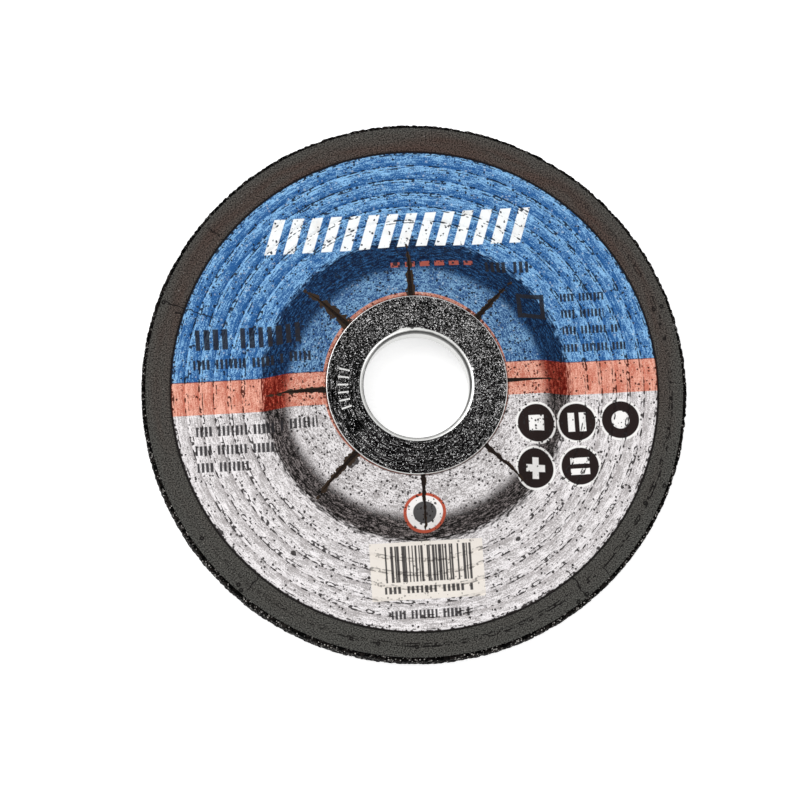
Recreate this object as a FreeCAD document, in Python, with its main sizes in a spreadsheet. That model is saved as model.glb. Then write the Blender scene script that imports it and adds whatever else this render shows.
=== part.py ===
import FreeCAD, Part
import os
import re

import Sketcher

# Depressed-centre grinding disc, in millimetres.
# It lies on its flat working face at height 0, centred on the Z axis, with the hub raised upwards.
# A moulded wheel of grit carries a black backing paper, a printed label and a pressed steel ring.
# The X axis runs along the orange band of the label.

# Driving dimensions
SIZES = [
    ("wheel_diameter", 115.0, "across the outer edge of the wheel"),
    ("rim_thickness", 6.0, "working face to the top of the label on the flat rim"),
    ("hub_rise", 4.6, "hub top above the rim"),
    ("recess_depth", 4.6, "floor of the recess under the hub above the working face"),
    ("hub_top_radius", 27.0, "corner between the hub top and the slope"),
    ("slope_run", 5.2, "radial width of the slope, down to its foot on the rim"),
    ("recess_inset", 2.2, "corner of the hub top to the corner of the recess floor"),
    ("slope_round", 3.8, "rounding of the four corners of the slope"),
    ("edge_round", 0.5, "rounding of the two outer edges of the grit"),
    ("ripple_margin", 3.2, "outer edge to the outermost pressed ring"),
    ("ripple_pitch", 2.97, "from one pressed ring to the next"),
    ("ripple_width", 1.1, "width of a pressed ring"),
    ("ripple_depth", 0.28, "depth of a pressed ring"),
    ("border_ripple_depth", 0.08, "depth of the outermost ring, which lies beyond the label"),
    ("ripple_foot_gap", 3.0, "least distance from the slope foot to the innermost ring"),
    ("backing_thickness", 0.2, "black backing paper"),
    ("backing_inset", 0.9, "outer edge of the wheel to the edge of the backing paper"),
    ("label_thickness", 0.12, "printed paper"),
    ("border_width", 6.2, "outer edge of the wheel to the edge of the label"),
    ("paper_hole_gap", 0.3, "bend of the ring to the holes of the two papers"),
    ("slit_count", 8, "slits in the label at the hub"),
    ("slit_reach", 30.6, "radius at which a slit comes to its point"),
    ("slit_width", 1.5, "width of a slit where it starts under the ring"),
    ("bore_diameter", 22.23, "bore inside the steel ring"),
    ("ring_diameter", 38.0, "across the flange of the steel ring"),
    ("ring_sheet", 0.6, "sheet thickness of the steel ring"),
    ("lip_round", 1.1, "outside of the bend between flange and collar"),
    ("ring_edge_round", 0.22, "rounding of the flange's outer edge"),
    ("collar_setback", 0.4, "recess floor to the end of the collar"),
    ("collar_clearance", 0.05, "between the collar and the moulding"),
]

doc = FreeCAD.newDocument("GrindingDisc")
sheet = doc.addObject("Spreadsheet::Sheet", "Sizes")
for row, (alias, value, meaning) in enumerate(SIZES, 1):
    sheet.set(f"A{row}", meaning)
    sheet.set(f"B{row}", str(value))
    sheet.setAlias(f"B{row}", alias)
doc.recompute()

# Radii and heights that several pieces share, as sums of the driving dimensions
WHEEL_RADIUS = "wheel_diameter / 2"
PAPER_STACK = "backing_thickness + label_thickness"
FACE_TOP = f"rim_thickness - ({PAPER_STACK})"
HUB_TOP = f"{FACE_TOP} + hub_rise"
COLLAR_RADIUS = "bore_diameter / 2 + ring_sheet"
SEAT_RADIUS = f"{COLLAR_RADIUS} + collar_clearance"
PAPER_HOLE = f"{SEAT_RADIUS} + lip_round + paper_hole_gap"
SLOPE_FOOT = "hub_top_radius + slope_run"
RECESS_FLOOR = "hub_top_radius - recess_inset"
RECESS_MOUTH = f"{RECESS_FLOOR} + slope_run"
RING_SEAT = "rim_thickness + hub_rise"

# How near a circle lies to the place it is looked for, in mm, and the least volume of a cut, in mm3
SAME_PLACE = 1e-4
LEAST_CUT = 1e-3


def bind(item, target, text):
    """Bind a property or a constraint to a sum of the sheet's cells."""
    item.setExpression(target, re.sub(r"[a-z_]{3,}", r"Sizes.\g<0>", text))


def origin_plane(body, role):
    """One of the three planes of a body's own origin."""
    return next(p for p in body.Origin.OriginFeatures if p.Role == role)


def outline(body, name, role, loops):
    """A sketch of closed outlines, with both coordinates of every corner bound to the sheet."""
    sketch = body.newObject("Sketcher::SketchObject", name)
    sketch.AttachmentSupport = [(origin_plane(body, role), "")]
    sketch.MapMode = "FlatFace"
    for corners in loops:
        first = sketch.GeometryCount
        count = len(corners)
        rough = [FreeCAD.Vector(k + 1, (k + 1) ** 2, 0) for k in range(count)]
        for k in range(count):
            sketch.addGeometry(Part.LineSegment(rough[k], rough[(k + 1) % count]), False)
        for k, (across, up) in enumerate(corners):
            following = first + (k + 1) % count
            sketch.addConstraint(Sketcher.Constraint("Coincident", first + k, 2, following, 1))
            for kind, start, text in (("DistanceX", rough[k].x, across), ("DistanceY", rough[k].y, up)):
                place = sketch.addConstraint(Sketcher.Constraint(kind, -1, 1, first + k, 1, start))
                bind(sketch, f"Constraints[{place}]", text)
    doc.recompute()
    return sketch


def revolve(body, kind, name, sketch):
    """Turn a sketch once round the Z axis, as solid or as groove."""
    turned = body.newObject(kind, name)
    turned.Profile = sketch
    turned.ReferenceAxis = (sketch, ["V_Axis"])
    turned.Angle = 360.0
    doc.recompute()
    return turned


def circles_at(shape, *places):
    """Names of the circular edges with the given radii and heights."""
    names = []
    for k, edge in enumerate(shape.Edges, 1):
        if isinstance(edge.Curve, Part.Circle):
            found = (edge.Curve.Radius, edge.Curve.Center.z)
            if any(max(abs(found[0] - r), abs(found[1] - z)) < SAME_PLACE for r, z in places):
                names.append(f"Edge{k}")
    return names


def fillet(body, name, radius, *places):
    """Round the circular edges at the given radii and heights."""
    base = body.Tip
    edges = circles_at(base.Shape, *places)
    if len(edges) != len(places):
        raise RuntimeError(f"{name} found {len(edges)} edges of {len(places)}")
    rounded = body.newObject("PartDesign::Fillet", name)
    rounded.Base = (base, edges)
    bind(rounded, "Radius", radius)
    doc.recompute()
    return rounded


def check_cut(name, before, after):
    """A cut that points away from the solid takes nothing off and shows no error."""
    if not after.Volume < before.Volume - LEAST_CUT:
        raise RuntimeError(f"{name} cuts nothing")


# Abrasive wheel: grit and resin pressed in a mould, one solid of revolution.
# A flat rim, a slope up to the raised hub, a recess under it and a bore for the ring's collar.
wheel = doc.addObject("PartDesign::Body", "Wheel")
wheel.Label = "abrasive_wheel"
section = outline(wheel, "WheelSection", "XZ_Plane", [[
    (SEAT_RADIUS, "recess_depth"),
    (RECESS_FLOOR, "recess_depth"),
    (RECESS_MOUTH, "0"),
    (WHEEL_RADIUS, "0"),
    (WHEEL_RADIUS, FACE_TOP),
    (SLOPE_FOOT, FACE_TOP),
    ("hub_top_radius", HUB_TOP),
    (f"{SEAT_RADIUS} + lip_round", HUB_TOP),
    (SEAT_RADIUS, f"{HUB_TOP} - lip_round"),
]])
revolve(wheel, "PartDesign::Revolution", "WheelMoulding", section)

wheel_radius = sheet.wheel_diameter / 2
face_top = sheet.rim_thickness - sheet.backing_thickness - sheet.label_thickness
hub_top = face_top + sheet.hub_rise
slope_foot = sheet.hub_top_radius + sheet.slope_run
recess_floor = sheet.hub_top_radius - sheet.recess_inset
fillet(wheel, "SlopeRounds", "slope_round",
       (sheet.hub_top_radius, hub_top), (slope_foot, face_top),
       (recess_floor, sheet.recess_depth), (recess_floor + sheet.slope_run, 0))
fillet(wheel, "EdgeRounds", "edge_round", (wheel_radius, 0), (wheel_radius, face_top))

# Ripples: shallow rings that the mould presses into the label side of the rim
ripple_span = wheel_radius - sheet.ripple_margin - slope_foot - sheet.ripple_foot_gap
ripples = []
for k in range(int(ripple_span / sheet.ripple_pitch) + 1):
    middle = f"{WHEEL_RADIUS} - ripple_margin - {k} * ripple_pitch"
    depth = "ripple_depth" if k else "border_ripple_depth"
    ripples.append([
        (f"{middle} - ripple_width", f"{FACE_TOP} + {depth}"),
        (middle, f"{FACE_TOP} - {depth}"),
        (f"{middle} + ripple_width", f"{FACE_TOP} + {depth}"),
    ])
ripple_section = outline(wheel, "RippleSection", "XZ_Plane", ripples)
moulding = wheel.Tip.Shape
revolve(wheel, "PartDesign::Groove", "Ripples", ripple_section)
check_cut("Ripples", moulding, wheel.Tip.Shape)


def raised_face(name, rise):
    """The wheel lifted straight up, whose top is the top of a paper pressed on it."""
    raised = doc.addObject("Part::Compound", name)
    raised.Links = [wheel]
    bind(raised, "Placement.Base.z", rise)
    return raised


def cylinder(name, radius):
    """A cylinder on the Z axis that reaches past both faces of the disc."""
    solid = doc.addObject("Part::Cylinder", name)
    bind(solid, "Radius", radius)
    bind(solid, "Height", "2 * rim_thickness + 2 * hub_rise")
    return solid


def boolean(kind, name, base, tool):
    """A cut or a common part of two objects."""
    result = doc.addObject(kind, name)
    result.Base = base
    result.Tool = tool
    return result


def pressed_paper(name, above, below, radius):
    """The layer between two raised faces, from the hole under the ring to a radius."""
    layer = boolean("Part::Cut", f"{name}Layer", above, below)
    disc = cylinder(f"{name}Disc", radius)
    hole = cylinder(f"{name}Hole", PAPER_HOLE)
    washer = boolean("Part::Cut", f"{name}Washer", disc, hole)
    return boolean("Part::Common", f"{name}Sheet", layer, washer)


# Backing paper: black paper pressed on the grit, nearly as wide as the wheel
backing_face = raised_face("BackingFace", "backing_thickness")
backing = pressed_paper("Backing", backing_face, wheel, f"{WHEEL_RADIUS} - backing_inset")
backing.Label = "backing_paper"

# Printed label: paper pressed on the backing, slit at the hub so that it follows the slope
label_face = raised_face("LabelFace", PAPER_STACK)
label_blank = pressed_paper("Label", label_face, backing_face, f"{WHEEL_RADIUS} - border_width")
doc.recompute()
label = doc.addObject("PartDesign::Body", "Label")
label.Label = "printed_label"
label.BaseFeature = label_blank
doc.recompute()
slit_section = outline(label, "SlitSection", "XY_Plane", [[
    (SEAT_RADIUS, "-slit_width / 2"),
    ("slit_reach", "0"),
    (SEAT_RADIUS, "slit_width / 2"),
]])
slit = label.newObject("PartDesign::Pocket", "Slit")
slit.Profile = slit_section
slit.Type = "ThroughAll"
slit.Reversed = True
doc.recompute()
check_cut("Slit", label_blank.Shape, slit.Shape)
slits = label.newObject("PartDesign::PolarPattern", "Slits")
slits.Originals = [slit]
slits.Axis = (slit_section, ["N_Axis"])
slits.Angle = 360.0
bind(slits, "Occurrences", "slit_count")
label.Tip = slits
doc.recompute()
check_cut("Slits", slit.Shape, slits.Shape)

# Centre ring: steel sheet drawn into a collar that lines the bore, with a flange on the hub
ring = doc.addObject("PartDesign::Body", "Ring")
ring.Label = "centre_ring"
ring_section = outline(ring, "RingSection", "XZ_Plane", [[
    ("bore_diameter / 2", "recess_depth + collar_setback"),
    (COLLAR_RADIUS, "recess_depth + collar_setback"),
    (COLLAR_RADIUS, RING_SEAT),
    ("ring_diameter / 2", RING_SEAT),
    ("ring_diameter / 2", f"{RING_SEAT} + ring_sheet"),
    ("bore_diameter / 2", f"{RING_SEAT} + ring_sheet"),
]])
revolve(ring, "PartDesign::Revolution", "RingBlank", ring_section)
ring_seat = sheet.rim_thickness + sheet.hub_rise
bore_radius = sheet.bore_diameter / 2
fillet(ring, "BendInside", "lip_round - ring_sheet", (bore_radius + sheet.ring_sheet, ring_seat))
fillet(ring, "BendOutside", "lip_round", (bore_radius, ring_seat + sheet.ring_sheet))
fillet(ring, "FlangeEdge", "ring_edge_round", (sheet.ring_diameter / 2, ring_seat + sheet.ring_sheet))

# Check every object, then write one STEP file for each piece
doc.recompute()
pieces = [wheel, backing, label, ring]
for item in doc.Objects:
    if "Invalid" in item.State or "Error" in item.State:
        raise RuntimeError(f"{item.Name} failed: {item.State}")
for piece in pieces:
    if piece.Shape.isNull() or not piece.Shape.isValid():
        raise RuntimeError(f"{piece.Label} has no valid shape")

os.makedirs("parts", exist_ok=True)
for piece in pieces:
    piece.Shape.exportStep(f"parts/{piece.Label}.step")
    box = piece.Shape.BoundBox
    print(f"{piece.Label}: {len(piece.Shape.Solids)} solid, {piece.Shape.Volume:.1f} mm3,"
          f" radius {box.XMax:.3f}, height {box.ZMin:.3f} to {box.ZMax:.3f}")
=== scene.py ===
from math import ceil, cos, radians, sin, tau

import bmesh
import bpy
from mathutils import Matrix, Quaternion, Vector, noise


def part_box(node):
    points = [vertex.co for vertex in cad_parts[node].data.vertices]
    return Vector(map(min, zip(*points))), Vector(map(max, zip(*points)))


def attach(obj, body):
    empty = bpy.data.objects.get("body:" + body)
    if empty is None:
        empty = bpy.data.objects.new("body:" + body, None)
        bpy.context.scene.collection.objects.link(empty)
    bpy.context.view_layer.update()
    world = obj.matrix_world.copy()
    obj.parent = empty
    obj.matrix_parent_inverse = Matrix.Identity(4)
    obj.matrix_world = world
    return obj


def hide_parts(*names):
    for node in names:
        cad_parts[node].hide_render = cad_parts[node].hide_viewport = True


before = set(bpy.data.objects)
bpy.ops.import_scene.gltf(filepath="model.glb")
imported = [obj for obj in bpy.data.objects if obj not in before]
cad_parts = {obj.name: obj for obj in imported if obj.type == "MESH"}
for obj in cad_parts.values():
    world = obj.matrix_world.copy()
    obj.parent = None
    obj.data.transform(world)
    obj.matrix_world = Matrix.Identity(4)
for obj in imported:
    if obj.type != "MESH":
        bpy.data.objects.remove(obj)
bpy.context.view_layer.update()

# The view and the studio. The disc lies flat on a white table with its label up, and the camera looks down
# on it from in front and a little to the left, turned a little about its own line of sight. A pale sky and
# two wide soft lights show each colour at about its own value, and the table keeps a faint shadow.
MM = 0.001

camera_aim = Vector((-3.40, -2.16, 6.0)) * MM
camera_distance = 749.4 * MM
camera_azimuth, camera_elevation, camera_roll = radians(-21.27), radians(78.92), radians(17.82)
camera_lens, sensor_width = 160.67, 36.0

sky_level = 0.62
key_place, key_watts = (-600, 500, 950), 9.0
fill_place, fill_watts = (700, -500, 800), 2.5
light_size = 900
table_size, table_drop = 3000 * MM, 0.02 * MM
table_colour, table_lift = "E8E8E8", 0.62


def colour(code):
    """The colour of an sRGB hex code, as the linear values that a material takes."""
    shares = [int(code[at:at + 2], 16) / 255 for at in (0, 2, 4)]
    return [s / 12.92 if s <= 0.04045 else ((s + 0.055) / 1.055) ** 2.4 for s in shares] + [1]


def feed(tree, made, inputs):
    """Sets a node's inputs. Each is a plain value, another node's output, or a node, whose first output is
    meant."""
    for socket, value in inputs.items():
        source = value.outputs[0] if isinstance(value, bpy.types.Node) else value
        if isinstance(source, bpy.types.NodeSocket):
            tree.links.new(source, made.inputs[socket])
        else:
            made.inputs[socket].default_value = source


def node(tree, kind, inputs=None, **settings):
    """Adds a node of that kind, with its settings and its inputs."""
    made = tree.nodes.new("ShaderNode" + kind)
    for setting, value in settings.items():
        setattr(made, setting, value)
    feed(tree, made, inputs or {})
    return made


def seen_directly(tree):
    """1 for what the camera sees itself, in a reflection or through glass, 0 for the light on the object."""
    path = node(tree, "LightPath")
    mirrored = node(tree, "Math", {0: path.outputs["Is Glossy Ray"], 1: path.outputs["Is Transmission Ray"]},
                    operation="MAXIMUM")
    return node(tree, "Math", {0: path.outputs["Is Camera Ray"], 1: mirrored}, operation="MAXIMUM")


def new_object(name, mesh):
    """Puts a finished mesh in the scene under that name."""
    made = bpy.data.objects.new(name, mesh)
    bpy.context.scene.collection.objects.link(made)
    return made


def soft_light(name, place, size, watts):
    """A square soft light at a place in millimetres, turned to the disc."""
    lamp = bpy.data.lights.new(name, "AREA")
    lamp.size, lamp.energy = size * MM, watts
    light = new_object(name, lamp)
    light.location = Vector(place) * MM
    light.rotation_mode = "QUATERNION"
    light.rotation_quaternion = Vector(place).to_track_quat("Z", "Y")


backwards = Vector((sin(camera_azimuth) * cos(camera_elevation),
                    -cos(camera_azimuth) * cos(camera_elevation),
                    sin(camera_elevation)))
camera = new_object("camera", bpy.data.cameras.new("camera"))
camera.data.lens, camera.data.sensor_width = camera_lens, sensor_width
camera.location = camera_aim + backwards * camera_distance
camera.rotation_mode = "QUATERNION"
camera.rotation_quaternion = backwards.to_track_quat("Z", "Y") @ Quaternion((0, 0, 1), camera_roll)
bpy.context.scene.camera = camera
bpy.context.scene.view_settings.view_transform = "Standard"

soft_light("key_light", key_place, light_size, key_watts)
soft_light("fill_light", fill_place, light_size, fill_watts)

sky = bpy.data.worlds.new("sky")
sky.use_nodes = True
sky_strength = node(sky.node_tree, "MapRange", {"Value": seen_directly(sky.node_tree), "To Min": sky_level})
feed(sky.node_tree, sky.node_tree.nodes["Background"], {"Color": (1, 1, 1, 1), "Strength": sky_strength})
bpy.context.scene.world = sky

# White card: it scatters the light evenly, and shows white in the picture. From below the table is clear.
card = bpy.data.materials.new("white_card")
card.use_nodes = True
card_tree = card.node_tree
card_shader = card_tree.nodes["Principled BSDF"]
lift = node(card_tree, "Math", {0: seen_directly(card_tree), 1: table_lift}, operation="MULTIPLY")
feed(card_tree, card_shader, {
    "Base Color": colour(table_colour), "Roughness": 1.0, "Specular IOR Level": 0.0,
    "Emission Color": (1, 1, 1, 1), "Emission Strength": lift})
from_below = node(card_tree, "NewGeometry").outputs["Backfacing"]
card_face = node(card_tree, "MixShader", {0: from_below, 1: card_shader,
                                          2: node(card_tree, "BsdfTransparent")})
feed(card_tree, card_tree.nodes["Material Output"], {"Surface": card_face})
table_top = bmesh.new()
bmesh.ops.create_grid(table_top, x_segments=1, y_segments=1, size=table_size / 2)
bmesh.ops.translate(table_top, verts=table_top.verts, vec=(0, 0, -table_drop))
table_mesh = bpy.data.meshes.new("table")
table_top.to_mesh(table_mesh)
table_mesh.materials.append(card)
table = new_object("table", table_mesh)

# The grinding wheel is coarse aluminium oxide grit in a dark resin, moulded in one piece under pressure and
# baked. Its top lies under the paper and stays smooth here, and every bare face is a crust of grains: the
# edge, the working face and the recess below the hub.
wheel_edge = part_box("abrasive_wheel")[1].x / MM
hub_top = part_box("abrasive_wheel")[1].z / MM
rim_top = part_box("backing_paper")[0].z / MM
paper_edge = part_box("backing_paper")[1].x / MM
recess_depth, recess_mouth, recess_floor = 4.6, 30.0, 24.8
seat_radius, hub_corner, slope_foot = 11.765, 27.0, 32.2
slope_round, slope_round_rows = 1.44, 5
edge_round, edge_round_rows = 0.5, 2
row_height, wheel_steps, fine_from = 0.66, 540, 54.5
grain, grain_depth, grain_sink, grain_lot_step = 0.86, 0.48, 0.26, 7.3
swell, swell_width, crust_rise = 0.12, 5.0, 0.2
paper_overlap, bare_strip, beside, level_with = 0.2, 1.0, 0.1, 0.01


def new_material(name):
    """A material with its node tree and its shader."""
    made = bpy.data.materials.new(name)
    made.use_nodes = True
    return made, made.node_tree, made.node_tree.nodes["Principled BSDF"]


def layer(tree, mask, under, over):
    """A colour laid over another where the mask says."""
    return node(tree, "Mix", {0: mask, 6: under, 7: over}, data_type="RGBA").outputs[2]


def together(tree, masks, operation):
    """Joins several masks by one operation, such as MAXIMUM or MULTIPLY."""
    joined = masks[0]
    for mask in masks[1:]:
        joined = node(tree, "Math", {0: joined, 1: mask}, operation=operation)
    return joined


def crust(place):
    """How deep the crust of grains lies below the mould's wall at a place. Each grain is a dome of its own,
    and the highest ones reach the wall."""
    distances, centres = noise.voronoi(place / (grain * MM))
    dome = min(1.0, distances[0]) ** 2 * grain_depth
    sink = (0.5 + 0.5 * noise.cell(centres[0] * grain_lot_step)) * grain_sink
    low = (0.5 + 0.5 * noise.noise(place / (swell_width * MM))) * swell
    return max(0.0, dome + sink + low - crust_rise) * MM


wheel = bmesh.new()
section = [(seat_radius, recess_depth), (recess_floor, recess_depth), (recess_mouth, 0), (wheel_edge, 0),
           (wheel_edge, rim_top), (slope_foot, rim_top), (hub_corner, hub_top), (seat_radius, hub_top)]
corners = [wheel.verts.new((r * MM, 0, z * MM)) for r, z in section]
for start, end in zip(corners, corners[1:] + corners[:1]):
    wheel.edges.new((start, end))
edge_corners, slope_corners = corners[3:5], corners[5:7]
for rounded, size, rows in ((edge_corners, edge_round, edge_round_rows),
                            (slope_corners, slope_round, slope_round_rows)):
    bmesh.ops.bevel(wheel, geom=rounded, offset=size * MM, offset_type="OFFSET", affect="VERTICES",
                    segments=rows, profile=0.5, material=-1)
wheel.edges.ensure_lookup_table()
for edge in list(wheel.edges):
    middle = (edge.verts[0].co + edge.verts[1].co) / 2 / MM
    under_paper = middle.z > rim_top - beside and middle.x < paper_edge - bare_strip
    in_seat = middle.x < seat_radius + beside
    rows = 1 if under_paper or in_seat else ceil(edge.calc_length() / (row_height * MM))
    if rows > 1:
        bmesh.ops.subdivide_edges(wheel, edges=[edge], cuts=rows - 1)
bmesh.ops.spin(wheel, geom=wheel.verts[:] + wheel.edges[:], cent=(0, 0, 0), axis=(0, 0, 1), angle=tau,
               steps=wheel_steps, use_merge=True)
near_edge = [e for e in wheel.edges if all(v.co.xy.length > fine_from * MM for v in e.verts)]
bmesh.ops.subdivide_edges(wheel, edges=near_edge, cuts=1, use_grid_fill=True)
bmesh.ops.recalc_face_normals(wheel, faces=wheel.faces)
wheel.normal_update()
for vert in wheel.verts:
    out = vert.co.xy.length / MM
    covered = vert.co.z > (rim_top - level_with) * MM and out < paper_edge - paper_overlap
    seated = out < seat_radius + beside
    if not covered and not seated:
        vert.co -= vert.normal * crust(vert.co)
        vert.co.z = max(vert.co.z, 0)
wheel_mesh = bpy.data.meshes.new("grit_wheel")
wheel.to_mesh(wheel_mesh)
grit_wheel = new_object("grit_wheel", wheel_mesh)

# Resin-bonded aluminium oxide: black resin with grains of many darknesses standing in it. Most are as dark
# as the resin, a few are grey, and small broken faces show pale with painted glints, most of all along the
# front.
grain_patch, chip, chip_height = 0.62, 0.31, 0.75
grit_relief, grit_relief_height = 0.35, 0.25
chips_rare_at, chips_full_at, rare_share = 35, -25, 0.3
resin_black, grain_grey, chip_glint_pale = "020202", "262220", "C2BEB9"
grit, tree, shader = new_material("resin_bonded_grit")
place = node(tree, "VectorMath", {0: node(tree, "TexCoord").outputs["Object"], 1: (1 / MM,) * 3},
             operation="MULTIPLY")
grains = node(tree, "TexVoronoi", {"Vector": place, "Scale": 1 / grain_patch})
lot = node(tree, "SeparateColor", {0: grains.outputs["Color"]})
darkness = node(tree, "MapRange", {"Value": lot.outputs[0], "From Min": 0.5, "From Max": 1.0})
upright = node(tree, "VectorMath", {0: place, 1: (1, 1, chip / chip_height)}, operation="MULTIPLY")
chips = node(tree, "TexVoronoi", {"Vector": upright, "Scale": 1 / chip})
chip_lot = node(tree, "SeparateColor", {0: chips.outputs["Color"]})
broken = node(tree, "MapRange", {"Value": chip_lot.outputs[0], "From Min": 0.73, "From Max": 0.98})
chip_shape = node(tree, "MapRange", {"Value": chips.outputs["Distance"], "From Min": 0.55, "From Max": 0.35})
front_glint_share = node(tree, "MapRange", {"Value": node(tree, "SeparateXYZ", {0: place}).outputs["Y"],
                                    "From Min": chips_rare_at, "From Max": chips_full_at,
                                    "To Min": rare_share})
# The pale faces are painted glints, more of them towards the front.
pale = together(tree, [broken, chip_shape, front_glint_share], "MULTIPLY")
body = layer(tree, darkness, colour(resin_black), colour(grain_grey))
body = layer(tree, pale, body, colour(chip_glint_pale))
relief = node(tree, "TexNoise", {"Vector": place, "Scale": 1 / grit_relief, "Detail": 3})
bump = node(tree, "Bump", {"Height": relief, "Distance": grit_relief_height * MM, "Strength": 0.9})
gloss = node(tree, "MapRange", {"Value": lot.outputs[2], "To Min": 0.28, "To Max": 0.75})
feed(tree, shader, {"Base Color": body, "Specular IOR Level": 0.02, "Normal": bump, "Roughness": gloss})
wheel_mesh.materials.append(grit)
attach(grit_wheel, "root")
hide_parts("abrasive_wheel")

# The backing paper is a thin disc of black resin-soaked paper, pressed on the grit when the wheel is moulded.
# It shows as the smooth border round the label and as the dark line in each slit, and it carries the last
# ripple. The border is cracked in a few places.
ripple_inner, ripple_pitch, ripple_first, ripple_last = 36.48, 2.97, 35.2, 55.6
track_wander, track_wander_size = 0.12, 3.2
# The two creases of each ripple: how far inwards, how wide their breaks are, and the greatest half width
crease_gap, crease_break = 0.62, 1.1
creases = [(0.0, 1.4, 0.21), (crease_gap, 1.1, 0.15)]
loop_length, loop_half_width, loop_tear, mark_blot = 3.3, 0.33, 0.7, 0.42
# Each crack's bearing in degrees, and the two radii that it runs between
cracks = [(157.2, 45.0, 55.8), (158.8, 51.3, 53.0), (138.3, 52.5, 55.7), (227.0, 51.4, 55.3),
          (305.8, 49.5, 57.0), (312.5, 54.0, 56.0)]
crack_half_width, crack_wander, crack_wander_size = 0.13, 0.8, 1.5
# Each round pit's bearing and radius
rim_pits = [(157.5, 56.0), (226.0, 56.1), (224.8, 55.6), (306.0, 56.0), (303.5, 56.2), (335.3, 56.1),
            (15.7, 55.4), (15.6, 53.6), (212.0, 54.8), (258.0, 54.3), (252.0, 54.4), (330.0, 53.8),
            (266.5, 54.4)]
rim_pit_radius, rim_pit_line = 0.31, 0.16
edge_blur = 0.12
label_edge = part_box("printed_label")[1].x / MM


def disc_place(tree):
    """A point's place on the disc in millimetres, its distance from the axis, and its bearing in turns."""
    told = node(tree, "TexCoord").outputs["Object"]
    place = node(tree, "VectorMath", {0: told, 1: (1 / MM,) * 3}, operation="MULTIPLY")
    flat = node(tree, "VectorMath", {0: place, 1: (1, 1, 0)}, operation="MULTIPLY")
    radius = node(tree, "VectorMath", {0: flat}, operation="LENGTH").outputs["Value"]
    axes = node(tree, "SeparateXYZ", {0: place})
    bearing = node(tree, "Math", {0: axes.outputs["Y"], 1: axes.outputs["X"]}, operation="ARCTAN2")
    turn = node(tree, "Math", {0: bearing, 1: tau}, operation="DIVIDE")
    return flat, radius, turn


def drawn_out(tree, flat, radius, along, across):
    """A place for a pattern that is drawn out round the axis: its marks are so long and so wide in
    millimetres at the middle of the label."""
    middle_radius = 40
    direction = node(tree, "VectorMath", {0: flat}, operation="NORMALIZE")
    scaled = node(tree, "VectorMath", {0: direction, "Scale": middle_radius / along}, operation="SCALE")
    rise = node(tree, "Math", {0: radius, 1: across}, operation="DIVIDE")
    return node(tree, "VectorMath", {0: scaled, 1: node(tree, "CombineXYZ", {"Z": rise})}, operation="ADD")


def smaller(tree, value, limit, blur=edge_blur):
    """1 where a value is smaller than the limit, 0 where it is greater, and a soft edge between."""
    return node(tree, "MapRange", {"Value": value, "From Min": limit + blur / 2,
                                   "From Max": limit - blur / 2})


def away_from(tree, value, level):
    """How far a value lies from a level, on either side."""
    return node(tree, "Math", {0: node(tree, "Math", {0: value, 1: level}, operation="SUBTRACT")},
                operation="ABSOLUTE")


def circle(tree, flat, centre):
    """The distance from a centre on the disc."""
    return node(tree, "VectorMath", {0: flat, 1: (*centre, 0)}, operation="DISTANCE").outputs["Value"]


def at_bearing(bearing, radius):
    """The place at a bearing in degrees and a radius."""
    return radius * cos(radians(bearing)), radius * sin(radians(bearing))


def towards(tree, flat, bearing):
    """How far a point lies towards a bearing in degrees, from the axis."""
    return node(tree, "VectorMath", {0: flat, 1: (*at_bearing(bearing, 1), 0)},
                operation="DOT_PRODUCT").outputs["Value"]


def spots(tree, cells, start, end, largest, blur):
    """1 in round spots, at most one in each cell. They grow from nothing in a cell whose lot is the start, to
    the largest in one whose lot is the end, as a share of the cells' pitch."""
    lot = node(tree, "SeparateColor", {0: cells.outputs["Color"]})
    size = node(tree, "MapRange", {"Value": lot.outputs[0], "From Min": start, "From Max": end,
                                   "To Max": largest})
    inside = node(tree, "Math", {0: size, 1: cells.outputs["Distance"]}, operation="SUBTRACT")
    return node(tree, "MapRange", {"Value": inside, "From Min": 0.0, "From Max": blur})


def crack(tree, radius, turn, wander, bearing, start, end):
    """1 on a thin crack that runs outwards at a bearing, from one radius to another."""
    away = node(tree, "Math", {0: turn, 1: bearing / 360}, operation="SUBTRACT")
    away = node(tree, "Math", {0: away, 1: 0.5, 2: -0.5}, operation="WRAP")
    away = node(tree, "Math", {0: away, 1: radius}, operation="MULTIPLY")
    away = node(tree, "Math", {0: away, 1: tau, 2: wander}, operation="MULTIPLY_ADD")
    line = smaller(tree, node(tree, "Math", {0: away}, operation="ABSOLUTE"), crack_half_width)
    reach = smaller(tree, away_from(tree, radius, (start + end) / 2), (end - start) / 2)
    return together(tree, [line, reach], "MULTIPLY")


def border_cracks(tree, flat, radius, turn):
    """The few thin cracks that cross the border, two of them on into the label."""
    wander = node(tree, "TexNoise", {"Vector": flat, "Scale": 1 / crack_wander_size, "Detail": 3})
    wander = node(tree, "MapRange", {"Value": wander, "To Min": -crack_wander, "To Max": crack_wander})
    return together(tree, [crack(tree, radius, turn, wander, *where) for where in cracks], "MAXIMUM")


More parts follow.
